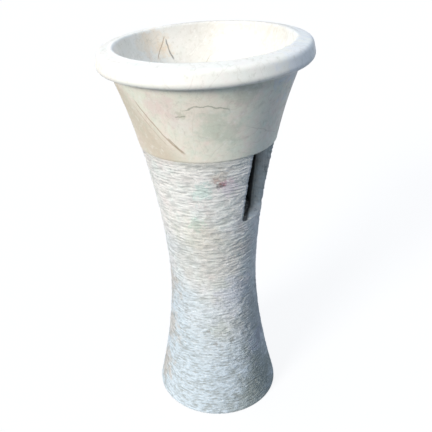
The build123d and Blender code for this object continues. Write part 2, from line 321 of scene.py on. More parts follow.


# Marks in the shaft's stone, with patches of painted light and painted shade: middle, size and grain in mm,
# colour and strength
SHAFT_STAINS_AND_PAINTED_LIGHT = (
    # painted light: a pale patch that lightens the shaft's top, which flares outwards and so faces down, away
    # from the lamp
    ((-100, -100, 660), 120, 30, "#fdf9f0", 0.5),
    ((-103, -92, 635), 12, 7, "#922c2a", 1.0),
    ((-106, -86, 630), 10, 5, "#5a4f45", 0.8),
    ((-110, -81, 646), 10, 5, "#b0756c", 0.6),
    ((-110, -88, 655), 22, 9, "#bfae9c", 0.5),
    ((-93, -102, 638), 12, 7, "#e2bdbd", 0.6),
    ((-90, -104, 622), 28, 10, "#ead9e2", 0.5),
    ((-123, -51, 618), 30, 14, "#cbe6da", 0.55),
    ((-116, -32, 531), 24, 12, "#c6ead9", 0.55),
    ((-112, -30, 500), 60, 24, "#e6e0c4", 0.25),
    ((-95, -55, 440), 120, 34, "#bdb6a4", 0.32),
    ((-103, -41, 231), 7, 6, "#6f665a", 0.6),
    ((-100, -57, 198), 7, 6, "#7b6a58", 0.55),
    ((-74, -87, 202), 9, 7, "#54554a", 0.6),
    ((-92, -72, 236), 34, 12, "#b2b6a2", 0.4),
    # painted shade: dull grey patches that darken the foot and the lower shaft on their shaded side
    ((-6, -144, 40), 130, 50, "#787e70", 0.55),
    ((16, -142, 60), 100, 40, "#7d8377", 0.5),
    ((-60, -130, 25), 70, 30, "#9aa197", 0.35),
    ((18, -125, 250), 120, 40, "#8a8f8b", 0.5),
    ((-14, -120, 154), 70, 26, "#9fa49c", 0.45),
    ((-98, 108, 70), 60, 24, "#c9b7a4", 0.6),
    ((-84, 92, 200), 60, 24, "#c9b7a4", 0.55),
    ((-72, 80, 320), 60, 24, "#c9b7a4", 0.5),
    ((0, -148, 170), 60, 24, "#a7a2b8", 0.4),
    ((-60, -92, 330), 60, 22, "#d0d2de", 0.4),
)


def from_axis(tree, place):
    """Distance of a place from the planter's upright axis."""
    level = add(tree, "ShaderNodeVectorMath", {0: place, 1: (1.0, 1.0, 0.0)}, operation="MULTIPLY")
    return add(tree, "ShaderNodeVectorMath", {0: level}, operation="LENGTH").outputs["Value"]


# The shaft's colour turns cooler and bluer towards the foot, over heights taken along a dip to one side
TINT_DIP = (0.6, -1.05, 1.0)
COOL_TINT_HEIGHTS = (480 * MM, 100 * MM)  # heights along the dip where it begins and where it is full
TINT_RAGGED = 80 * MM
SHADE_UNDER_JOINT_RUN = 22 * MM  # how far the painted shade under the bowl block reaches down from the joint


def make_dressed_limestone():
    """Pale limestone dressed with a point chisel: pale ridges, partly bruised and partly painted highlight,
    between furrows darkened with painted shade.
    """
    material, tree = start_material("chiselled_limestone")
    place = add(tree, "ShaderNodeTexCoord").outputs["Object"]
    body = limestone_clouds(tree, place, "#faf3ea", "#f4f2eb", "#e7eee5", "#f6e8e1")
    wobble = add(tree, "ShaderNodeTexNoise", {"Vector": place, "Scale": 1 / (120 * MM), "Detail": 5.0})
    wobble = add(
        tree,
        "ShaderNodeMapRange",
        {"Value": wobble, "From Min": 0.3, "From Max": 0.7, "To Min": -TINT_RAGGED, "To Max": TINT_RAGGED},
    )
    dip = add(tree, "ShaderNodeVectorMath", {0: place, 1: TINT_DIP}, operation="DOT_PRODUCT").outputs["Value"]
    level = add(tree, "ShaderNodeMath", {0: dip, 1: wobble}, operation="ADD")
    level = add(
        tree,
        "ShaderNodeMapRange",
        {"Value": level, "From Min": COOL_TINT_HEIGHTS[0], "From Max": COOL_TINT_HEIGHTS[1]},
        interpolation_type="SMOOTHSTEP",
    )
    body = add(tree, "ShaderNodeMix", {"Factor": level, 6: body, 7: linear("#cfdae0")}, data_type="RGBA")
    body = with_stains_and_painted_light(tree, place, body, SHAFT_STAINS_AND_PAINTED_LIGHT)
    # painted shade under the bowl block: a darker band just under the joint, to a ragged lower edge
    height = add(tree, "ShaderNodeSeparateXYZ", {"Vector": place}).outputs["Z"]
    run = add(tree, "ShaderNodeMath", {0: wobble, 1: 0.1, 2: height}, operation="MULTIPLY_ADD")
    body = tinted(tree, body, "#b3ad98", run, SEAM - SHADE_UNDER_JOINT_RUN, SEAM, 0.35)
    # grains of the stone, several times too coarse so that they show, longer round the shaft than up it
    flat = add(tree, "ShaderNodeVectorMath", {0: place, 1: (1.0, 1.0, 2.4)}, operation="MULTIPLY")
    grains = add(
        tree, "ShaderNodeTexNoise", {"Vector": flat, "Scale": 1 / (7 * MM), "Detail": 4.0, "Roughness": 0.75}
    )
    body = tinted(tree, body, "#f7f6f2", grains, 0.52, 0.68, 0.6)
    # the cooler lower part shows duller grains, and takes more painted shade in its furrows, than the upper
    # part
    grains_and_furrow_shade = add(tree, "ShaderNodeMapRange", {"Value": level, "To Min": 0.38, "To Max": 0.64})
    body = tinted(tree, body, "#aaafac", grains, 0.46, 0.32, grains_and_furrow_shade)
    # painted shade darkens the furrows; the proud ridges are lighter, partly the point's bruising and partly
    # painted highlight
    relief = add(tree, "ShaderNodeAttribute", attribute_name="relief").outputs["Fac"]
    body = tinted(tree, body, "#8b8d86", relief, 0.08, 0.9, grains_and_furrow_shade)
    body = tinted(tree, body, "#f7f5f0", relief, -0.2, -0.5, 0.6)
    # crumbs where the point bruised it, too coarse for the same reason
    crumbs = add(
        tree, "ShaderNodeTexNoise", {"Vector": flat, "Scale": 1 / (5 * MM), "Detail": 4.0, "Roughness": 0.7}
    )
    rough = add(tree, "ShaderNodeBump", {"Height": crumbs, "Strength": 1.0, "Distance": 2.4 * MM})
    finish_material(tree, body, rough, {"Roughness": 0.85, "IOR": LIMESTONE_IOR})
    return material


# Painted shade in the niche and in the hollow behind it; each pair goes from unshaded to fully shaded
NICHE_SHADE_AT_SILL = 93 * MM  # radius within which the wall is sooty
NICHE_SHADE_AT_SEAM = 112 * MM
NICHE_SHADE_INWARDS = (-2 * MM, 1 * MM)  # in from those radii
NICHE_SHADE_OVER_SILL = (-8 * MM, 0.0)  # height from the sill
NICHE_SHADE_UNDER_BOWL = (-14 * MM, -4 * MM)  # height from the seam
NICHE_SHADE_EDGE = -99 * MM  # it reaches over the sill as far out as this along Y, and farther on one side
NICHE_SHADE_ASKEW = -0.43  # by so much for each metre along X
NICHE_SHADE_BLUR = 3 * MM
NICHE_SHADE_RAGGED = 5 * MM


def make_sawn_limestone():
    """The same stone as the saw left it: dull mottled grey, fine saw lines, and near-black painted shade in
    the niche and the hollow.
    """
    material, tree = start_material("sawn_limestone")
    place = add(tree, "ShaderNodeTexCoord").outputs["Object"]
    body = limestone_clouds(tree, place, "#f6efe0", "#ecebe2", "#e0e6dc", "#f2e6dc")
    # upright saw lines, wider apart than a saw's so that they show
    stretched = add(tree, "ShaderNodeVectorMath", {0: place, 1: (1.0, 1.0, 0.05)}, operation="MULTIPLY")
    saw = add(tree, "ShaderNodeTexNoise", {"Vector": stretched, "Scale": 1 / (2.5 * MM), "Detail": 2.0})
    body = tinted(tree, body, "#83857f", saw, 0.4, 0.7, 0.22)
    stain = add(
        tree, "ShaderNodeTexNoise", {"Vector": place, "Scale": 1 / (16 * MM), "Detail": 6.0, "Roughness": 0.7}
    )
    body = tinted(tree, body, "#fbfbf6", stain, 0.50, 0.66, 0.7)
    body = tinted(tree, body, "#868984", stain, 0.45, 0.33, 0.6)
    # painted shade, nearly black, in the hollow round the shelf, under the bowl block and on the inner part
    # of the sill
    axes = add(tree, "ShaderNodeSeparateXYZ", {"Vector": place}).outputs
    ragged = add(
        tree,
        "ShaderNodeMapRange",
        {"Value": stain, "From Min": 0.3, "From Max": 0.7, "To Min": -NICHE_SHADE_RAGGED, "To Max": NICHE_SHADE_RAGGED},
    )
    height = add(tree, "ShaderNodeMath", {0: axes["Z"], 1: ragged}, operation="ADD")
    flare = add(
        tree,
        "ShaderNodeMapRange",
        {
            "Value": axes["Z"],
            "From Min": SILL,
            "From Max": SEAM,
            "To Min": NICHE_SHADE_AT_SILL,
            "To Max": NICHE_SHADE_AT_SEAM,
        },
    )
    inside = add(tree, "ShaderNodeMath", {0: flare, 1: from_axis(tree, place)}, operation="SUBTRACT")
    unshaded, fully_shaded = NICHE_SHADE_INWARDS
    inside = add(tree, "ShaderNodeMapRange", {"Value": inside, "From Min": unshaded, "From Max": fully_shaded})
    unshaded, fully_shaded = SILL + NICHE_SHADE_OVER_SILL[0], SILL + NICHE_SHADE_OVER_SILL[1]
    above = add(tree, "ShaderNodeMapRange", {"Value": height, "From Min": unshaded, "From Max": fully_shaded})
    inside = add(tree, "ShaderNodeMath", {0: inside, 1: above}, operation="MULTIPLY")
    unshaded, fully_shaded = SEAM + NICHE_SHADE_UNDER_BOWL[0], SEAM + NICHE_SHADE_UNDER_BOWL[1]
    ceiling = add(tree, "ShaderNodeMapRange", {"Value": height, "From Min": unshaded, "From Max": fully_shaded})
    spread = add(
        tree, "ShaderNodeMath", {0: axes["X"], 1: NICHE_SHADE_ASKEW, 2: axes["Y"]}, operation="MULTIPLY_ADD"
    )
    corner = add(
        tree,
        "ShaderNodeMapRange",
        {"Value": spread, "From Min": NICHE_SHADE_EDGE - NICHE_SHADE_BLUR, "From Max": NICHE_SHADE_EDGE + NICHE_SHADE_BLUR},
    )
    corner = add(tree, "ShaderNodeMath", {0: corner, 1: above}, operation="MULTIPLY")
    niche_shade = add(tree, "ShaderNodeMath", {0: inside, 1: ceiling}, operation="MAXIMUM")
    niche_shade = add(tree, "ShaderNodeMath", {0: niche_shade, 1: corner}, operation="MAXIMUM")
    niche_shade = add(tree, "ShaderNodeMath", {0: niche_shade, 1: 0.93}, operation="MULTIPLY")
    body = add(tree, "ShaderNodeMix", {"Factor": niche_shade, 6: body, 7: linear("#383b3c")}, data_type="RGBA")
    broken = add(tree, "ShaderNodeMath", {0: saw, 1: stain}, operation="ADD")
    cut = add(tree, "ShaderNodeBump", {"Height": broken, "Strength": 0.6, "Distance": 1.0 * MM})
    finish_material(tree, body, cut, {"Roughness": 0.8, "IOR": LIMESTONE_IOR})
    return material


# Across the sheet that the longest veins of the bowl block follow, towards its paler side
LONG_SHEET = (0.24, 0.77, -0.60)

# Veins: middle, outward normal and bend of the sheet, reach, half width, waver and length of a wave, in mm,
# with colour and strength
BOWL_VEINS = (
    ((-168, 14, 763), LONG_SHEET, 1500, 80, 2.6, 7, 30, "#a58a69", 0.75),
    ((-178, 34, 762), LONG_SHEET, 1500, 60, 1.8, 8, 30, "#b8a183", 0.55),
    ((-157, -20, 728), LONG_SHEET, 1500, 26, 3.0, 6, 16, "#85714f", 0.6),
    ((-160, -94, 817), (-0.10, -0.15, 0.98), 95, 50, 2.6, 15, 17, "#7e7c62", 0.6),
    ((-179, -44, 797), (0.10, 0.16, 0.98), 1500, 14, 2.2, 8, 12, "#8f876f", 0.7),
    ((92, 144, 849), (0.86, -0.45, 0.22), 1500, 28, 2.8, 8, 20, "#7a6d5e", 0.8),
    ((76, 156, 856), (0.66, -0.54, -0.52), 1500, 30, 2.2, 9, 14, "#b08d63", 0.75),
    ((-40, -150, 742), (0.35, -0.30, 0.88), 1500, 60, 1.3, 12, 30, "#a0937c", 0.3),
    ((120, 110, 770), (-0.45, 0.60, 0.66), 1500, 90, 1.5, 14, 35, "#9c8f77", 0.5),
    ((60, -160, 780), (0.50, 0.30, 0.81), 400, 80, 1.5, 12, 35, "#94886f", 0.5),
    ((150, -20, 740), (0.30, 0.75, 0.59), 600, 85, 1.6, 10, 40, "#a1876a", 0.55),
)

# Patches of the bowl block, two of them painted shade: middle, size and grain in mm, colour and strength
BOWL_STAINS_AND_PAINTED_SHADE = (
    ((-169, -39, 779), 26, 22, "#efe9dc", 0.55),
    ((-182, -8, 815), 46, 26, "#e3cdc4", 0.45),
    ((-139, -105, 762), 55, 26, "#c6cbb6", 0.55),
    ((-112, -150, 835), 50, 24, "#b9b09e", 0.35),
    ((-178, -46, 799), 14, 8, "#b5b39a", 0.4),
    # painted shade: two pale blue patches on the rim's side away from the lamp, for the blue sky light on its
    # shaded side
    ((10, -222, 884), 100, 30, "#c9d6e6", 0.5),
    ((130, -180, 884), 90, 30, "#c9d6e6", 0.5),
    ((150, 40, 790), 60, 26, "#c6cbb6", 0.5),
    ((60, -140, 750), 55, 26, "#dcc4b6", 0.5),
)

# The same for the white stone of its basin
BASIN_STAINS = (
    ((66, 166, 868), 44, 16, "#efcfa6", 0.3),
    ((35, 176, 874), 34, 14, "#eed8b6", 0.25),
    ((88, 156, 846), 30, 14, "#efcfa6", 0.35),
    ((-30, 178, 878), 50, 22, "#d3d3c2", 0.2),
)

# Where the block's stone changes, and where its colour is painted lighter or darker as light and shade, each
# pair from none of the change to all of it
BROWN_BED = (-497 * MM, -455 * MM)  # across the long sheet, from the longest vein on
BROWN_FADE = (-420 * MM, -330 * MM)  # and paler again beyond
BROWN_LEVEL = (860 * MM, 830 * MM)  # height
PAINTED_LIGHT_LEVEL = (857 * MM, 862 * MM)  # height
FLANK_TOP = 212 * MM  # radius of the flank's line, drawn on to the top of the block
BASIN_SKIN = (12 * MM, 17 * MM)  # inwards from that line
PAINTED_LIGHT_SIDE = (40 * MM, 120 * MM)  # towards TO_PAINTED_LIGHT_SIDE
TO_PAINTED_LIGHT_SIDE = (-0.5, 0.87, 0.0)
PAINTED_SHADE_SIDE = (85 * MM, 150 * MM)  # along X


def make_rubbed_limestone():
    """The same limestone rubbed smooth and sealed: soft sheen, faint clouds, brown and olive hair veins, and
    painted light and shade on the rim and in the basin.
    """
    material, tree = start_material("rubbed_limestone")
    place = add(tree, "ShaderNodeTexCoord").outputs["Object"]
    body = limestone_clouds(tree, place, "#efe4d3", "#eae8d5", "#dce2cf", "#f0dccf")
    # beyond the longest vein the bed turns to a browner stone
    across = add(
        tree, "ShaderNodeVectorMath", {0: place, 1: LONG_SHEET}, operation="DOT_PRODUCT"
    ).outputs["Value"]
    fade = add(
        tree,
        "ShaderNodeMapRange",
        {"Value": across, "From Min": BROWN_FADE[0], "From Max": BROWN_FADE[1], "To Min": 0.6, "To Max": 0.0},
    )
    brown = add(
        tree, "ShaderNodeMapRange", {"Value": across, "From Min": BROWN_BED[0], "From Max": BROWN_BED[1]}
    )
    brown = add(tree, "ShaderNodeMath", {0: brown, 1: fade}, operation="MULTIPLY")
    axes = add(tree, "ShaderNodeSeparateXYZ", {"Vector": place}).outputs
    low = add(
        tree,
        "ShaderNodeMapRange",
        {"Value": axes["Z"], "From Min": BROWN_LEVEL[0], "From Max": BROWN_LEVEL[1]},
    )
    brown = add(tree, "ShaderNodeMath", {0: brown, 1: low}, operation="MULTIPLY")
    body = add(tree, "ShaderNodeMix", {"Factor": brown, 6: body, 7: linear("#bfae93")}, data_type="RGBA")
    body = with_stains_and_painted_light(tree, place, body, BOWL_STAINS_AND_PAINTED_SHADE)
    # painted light: the rim and the basin are painted whiter than the flank, for the strong light that falls
    # on them
    flank = add(
        tree,
        "ShaderNodeMapRange",
        {"Value": axes["Z"], "From Min": SEAM, "From Max": TOP, "To Min": SEAM_RADIUS, "To Max": FLANK_TOP},
    )
    inside = add(tree, "ShaderNodeMath", {0: flank, 1: from_axis(tree, place)}, operation="SUBTRACT")
    inside = add(
        tree, "ShaderNodeMapRange", {"Value": inside, "From Min": BASIN_SKIN[0], "From Max": BASIN_SKIN[1]}
    )
    rim = add(
        tree,
        "ShaderNodeMapRange",
        {"Value": axes["Z"], "From Min": PAINTED_LIGHT_LEVEL[0], "From Max": PAINTED_LIGHT_LEVEL[1]},
    )
    white = add(tree, "ShaderNodeMath", {0: inside, 1: rim}, operation="MAXIMUM")
    white = add(tree, "ShaderNodeMath", {0: white, 1: 0.55}, operation="MULTIPLY")
    body = add(tree, "ShaderNodeMix", {"Factor": white, 6: body, 7: linear("#f4f1eb")}, data_type="RGBA")
    # painted light: the side of the basin away from the lamp is painted nearly white, for light thrown back
    # inside the basin
    side = add(
        tree, "ShaderNodeVectorMath", {0: place, 1: TO_PAINTED_LIGHT_SIDE}, operation="DOT_PRODUCT"
    ).outputs["Value"]
    side = add(
        tree,
        "ShaderNodeMapRange",
        {"Value": side, "From Min": PAINTED_LIGHT_SIDE[0], "From Max": PAINTED_LIGHT_SIDE[1], "To Max": 0.9},
    )
    side = add(tree, "ShaderNodeMath", {0: side, 1: inside}, operation="MULTIPLY")
    body = add(tree, "ShaderNodeMix", {"Factor": side, 6: body, 7: linear("#fffaf0")}, data_type="RGBA")
    body = with_stains_and_painted_light(tree, place, body, BASIN_STAINS)
    # and painted shade: the side of the basin that the lamp lights most is painted greyer
    grey = add(
        tree,
        "ShaderNodeMapRange",
        {"Value": axes["X"], "From Min": PAINTED_SHADE_SIDE[0], "From Max": PAINTED_SHADE_SIDE[1], "To Max": 0.75},
    )
    grey = add(tree, "ShaderNodeMath", {0: grey, 1: inside}, operation="MULTIPLY")
    body = add(tree, "ShaderNodeMix", {"Factor": grey, 6: body, 7: linear("#d2cec6")}, data_type="RGBA")
    # grains, several times too coarse so that they show
    speck = add(
        tree, "ShaderNodeTexNoise", {"Vector": place, "Scale": 1 / (10 * MM), "Detail": 4.0, "Roughness": 0.7}
    )
    body = tinted(tree, body, "#c2bba9", speck, 0.54, 0.72, 0.4)
    body = tinted(tree, body, "#f6f3eb", speck, 0.46, 0.32, 0.4)
    # hairlines along the contours of a slow noise, where old cracks have healed
    healed = add(
        tree,
        "ShaderNodeTexNoise",
        {"Vector": place, "Scale": 1 / (110 * MM), "Detail": 3.0, "Distortion": 1.2},
    )
    healed = add(tree, "ShaderNodeMath", {0: healed, 1: 0.5}, operation="SUBTRACT")
    healed = add(tree, "ShaderNodeMath", {0: healed}, operation="ABSOLUTE")
    body = tinted(tree, body, "#a99b84", healed, 0.010, 0.0, 0.16)
    for middle, normal, bend, reach, width, waver, wave, colour, strength in BOWL_VEINS:
        middle = Vector(middle) * MM
        given = {
            "Place": place,
            "Middle": middle,
            "Bend Centre": middle - Vector(normal).normalized() * bend * MM,
            "Bend": bend * MM,
            "Reach": reach * MM,
            "Width": width * MM,
            "Waver": waver * MM,
            "Waves": 1 / (wave * MM),
        }
        vein = add(tree, "ShaderNodeGroup", given, node_tree=vein_group)
        shade = add(tree, "ShaderNodeMath", {0: vein, 1: strength}, operation="MULTIPLY")
        body = add(tree, "ShaderNodeMix", {"Factor": shade, 6: body, 7: linear(colour)}, data_type="RGBA")
    # sheen left by hand rubbing, glossier on the hard white grains
    sheen = add(
        tree,
        "ShaderNodeMapRange",
        {"Value": speck, "From Min": 0.3, "From Max": 0.7, "To Min": 0.44, "To Max": 0.62},
    )
    swirl = add(tree, "ShaderNodeTexNoise", {"Vector": place, "Scale": 1 / (9 * MM), "Detail": 3.0})
    rub = add(tree, "ShaderNodeBump", {"Height": swirl, "Strength": 0.25, "Distance": 0.5 * MM})
    finish_material(tree, body, rub, {"Roughness": sheen, "IOR": LIMESTONE_IOR})
    return material


def make_metal(name, colour, worn, roughness, grain):
    """Turned or ground metal: tool marks, coarser than real ones to show, and patches dulled by hands."""
    material, tree = start_material(name)
    place = add(tree, "ShaderNodeTexCoord").outputs["Object"]
    patch = add(tree, "ShaderNodeTexNoise", {"Vector": place, "Scale": 1 / (9 * MM), "Detail": 4.0})
    body = tinted(tree, linear(colour), worn, patch, 0.45, 0.7, 0.7)
    turned = add(tree, "ShaderNodeTexNoise", {"Vector": place, "Scale": 1 / (grain * MM), "Detail": 2.0})
    scratch = add(tree, "ShaderNodeBump", {"Height": turned, "Strength": 0.25, "Distance": 0.1 * MM})
    finish_material(tree, body, scratch, {"Metallic": 1.0, "Roughness": roughness})
    return material


def make_moulding(name, colour, dusty, roughness):
    """Moulded rubber or plastic: even colour, a mould's grain, drawn coarse to show, and a little dust."""
    material, tree = start_material(name)
    place = add(tree, "ShaderNodeTexCoord").outputs["Object"]
    dust = add(tree, "ShaderNodeTexNoise", {"Vector": place, "Scale": 1 / (12 * MM), "Detail": 5.0})
    body = tinted(tree, linear(colour), dusty, dust, 0.5, 0.75, 0.5)
    skin = add(tree, "ShaderNodeTexNoise", {"Vector": place, "Scale": 1 / (0.8 * MM), "Detail": 1.0})
    mould = add(tree, "ShaderNodeBump", {"Height": skin, "Strength": 0.2, "Distance": 0.1 * MM})
    finish_material(tree, body, mould, {"Roughness": roughness, "IOR": 1.5})
    return material


dressed_limestone = make_dressed_limestone()
sawn_limestone = make_sawn_limestone()
rubbed_limestone = make_rubbed_limestone()
satin_brass = make_metal("turned_brass", "#c9a765", "#8a7146", 0.32, 1.2)
bright_steel = make_metal("ground_stainless_steel", "#b9b9b6", "#94948f", 0.3, 0.9)
black_rubber = make_moulding("moulded_rubber", "#1f1f1e", "#3d3c39", 0.75)
grey_polypropylene = make_moulding("moulded_polypropylene", "#9a9c9b", "#b1afa8", 0.45)


# Shaft: profile, skin, hollow and niche


def shaft_radius(height):
    """Outer radius of the shaft, as in the solid model."""
    if height < WAIST:
        return WAIST_RADIUS + (FOOT_RADIUS - WAIST_RADIUS) * (1 - height / WAIST) ** FOOT_SWEEP
    share = (height - WAIST) / (SEAM - WAIST)
    return WAIST_RADIUS + (SHAFT_TOP_RADIUS - WAIST_RADIUS) * share**FLARE_SWEEP


def hollow_radius(height):
    """Inner radius, opened out above the shelf's underside to its seat."""
    radius = shaft_radius(height) - WALL
    return max(radius, SHELF_SEAT) if height > SHELF_BOTTOM else radius


def niche_half_width(height):
    """Half the niche's width, drawn in round the corners at the sill."""
    share = (height - SILL) / (SEAM - SILL)
    width = NICHE_SILL + (NICHE_TOP - NICHE_SILL) * share
    drop = NICHE_CORNER - (height - SILL)
    if drop > 0:
        width += sqrt(NICHE_CORNER**2 - drop**2) - NICHE_CORNER
    return width


def ring_of_points(mesh, radius, height, columns, niche_columns):
    """Vertices from one side of the niche round to the other, and across it where the wall runs on."""
    half = asin(niche_half_width(max(height, SILL)) / radius)
    sweep = 2 * (pi - half)
    angles = [half - pi / 2 + sweep * i / columns for i in range(columns + 1)]
    if height < SILL + TOUCHING:
        angles += [angles[-1] + 2 * half * i / niche_columns for i in range(1, niche_columns)]
    return [mesh.verts.new((radius * cos(a), radius * sin(a), height)) for a in angles]


def wall_faces(mesh, rings, columns, outwards):
    """Faces of one side of the wall, with the niche left open above the sill."""
    made = []
    for lower, upper in zip(rings, rings[1:]):
        across = len(lower) > columns + 1 and len(upper) > columns + 1
        for i in range(len(lower) if across else columns):
            j = (i + 1) % len(lower) if across else i + 1
            corners = [lower[i], lower[j], upper[j], upper[i]]
            made.append(mesh.faces.new(corners if outwards else corners[::-1]))
    return made


def stitch(mesh, fine, coarse, flip=False):
    """Flat faces between a finely divided edge and one with a point for every COARSER of its points."""
    for i in range(len(coarse) - 1):
        corners = fine[i * COARSER : (i + 1) * COARSER + 1] + [coarse[i + 1], coarse[i]]
        mesh.faces.new(corners[::-1] if flip else corners)


def skin_heights():
    """Heights of the skin's rings, from the top of the foot's round up to the bevel at the seam."""
    below = (SILL - FOOT_ROUND) / SKIN_ROWS_BELOW_SILL
    above = (SEAM - SEAM_BEVEL - SILL) / SKIN_ROWS_ABOVE_SILL
    heights = [FOOT_ROUND + below * i for i in range(SKIN_ROWS_BELOW_SILL)]
    return heights + [SILL + above * i for i in range(SKIN_ROWS_ABOVE_SILL + 1)]


def outer_rings(mesh, heights):
    """Rings of the skin, with a worn round at the foot below it and the bevel at the seam above it."""
    edge = FOOT_RADIUS - FOOT_ROUND
    rise = shaft_radius(FOOT_ROUND) - edge
    turns = [radians(a) for a in (0, 30, 60)]
    profile = [(edge + rise * sin(a), FOOT_ROUND * (1 - cos(a))) for a in turns]
    skin_from = len(profile)
    profile += [(shaft_radius(h), h) for h in heights]
    profile.append((SHAFT_TOP_RADIUS - SEAM_BEVEL, SEAM))
    return [ring_of_points(mesh, r, h, SKIN_COLUMNS, NICHE_COLUMNS) for r, h in profile], skin_from


def inner_rings(mesh, heights):
    """Rings of the hollow, with the bevel at the foot and the ledge that the shelf lies on."""
    start = shaft_radius(HOLLOW_BEVEL) - WALL
    profile = [(start + HOLLOW_BEVEL, 0), (start, HOLLOW_BEVEL)]
    ladder = heights[COARSER : -COARSER : COARSER]
    profile += [(hollow_radius(h), h) for h in ladder if h < SHELF_BOTTOM - MM]
    profile += [(shaft_radius(SHELF_BOTTOM) - WALL, SHELF_BOTTOM), (SHELF_SEAT, SHELF_BOTTOM)]
    profile += [(hollow_radius(h), h) for h in ladder if h > SHELF_BOTTOM + MM]
    profile.append((SHAFT_TOP_RADIUS - WALL, SEAM))
    columns, niche_columns = SKIN_COLUMNS // COARSER, NICHE_COLUMNS // COARSER
    return [ring_of_points(mesh, r, h, columns, niche_columns) for r, h in profile]


def close_niche(mesh, outer, inner):
    """Sill and sides of the niche, through the wall."""
    fine = [ring for ring in outer if ring[0].co.z > SILL - TOUCHING]
    coarse = [ring for ring in inner if ring[0].co.z > SILL - TOUCHING]
    far, far_coarse = SKIN_COLUMNS, SKIN_COLUMNS // COARSER
    stitch(mesh, fine[0][far:] + fine[0][:1], coarse[0][far_coarse:] + coarse[0][:1])
    for side, coarse_side, flip in ((0, 0, False), (far, far_coarse, True)):
        edge = [ring[side] for ring in fine]
        back = [ring[coarse_side] for ring in coarse]
        stitch(mesh, edge[:-1], back, flip)
        corner = [edge[-2], edge[-1], back[-1]]
        mesh.faces.new(corner[::-1] if flip else corner)


def make_shaft_shell():
    """Closed shell of the shaft, with the points of its dressed skin marked tooled and its faces skin."""
    mesh = bmesh.new()
    tooled = mesh.verts.layers.float.new("tooled")
    skin = mesh.faces.layers.int.new("skin")
    heights = skin_heights()
    outer, skin_from = outer_rings(mesh, heights)
    inner = inner_rings(mesh, heights)
    for ring in outer[skin_from:-2]:
        for vert in ring:
            vert[tooled] = 1.0
    for face in wall_faces(mesh, outer, SKIN_COLUMNS, True):
        face[skin] = 1
    wall_faces(mesh, inner, SKIN_COLUMNS // COARSER, False)
    stitch(mesh, outer[0] + outer[0][:1], inner[0] + inner[0][:1], flip=True)
    stitch(mesh, outer[-1], inner[-1])
    close_niche(mesh, outer, inner)
    return finished(mesh, "chiselled_shaft", sawn_limestone, crease=25)


ROW_SHUFFLE = 3.71  # makes the strokes of each row unlike those of the next
RIDGE_SHUFFLE = 5.3  # and the breaks of each ridge
SMOOTH_BELOW_SEAM = 2 * MM  # a border left nearly smooth so that the block sits well
FULL_BELOW_SEAM = 9 * MM  # depth below the seam at which the work is full


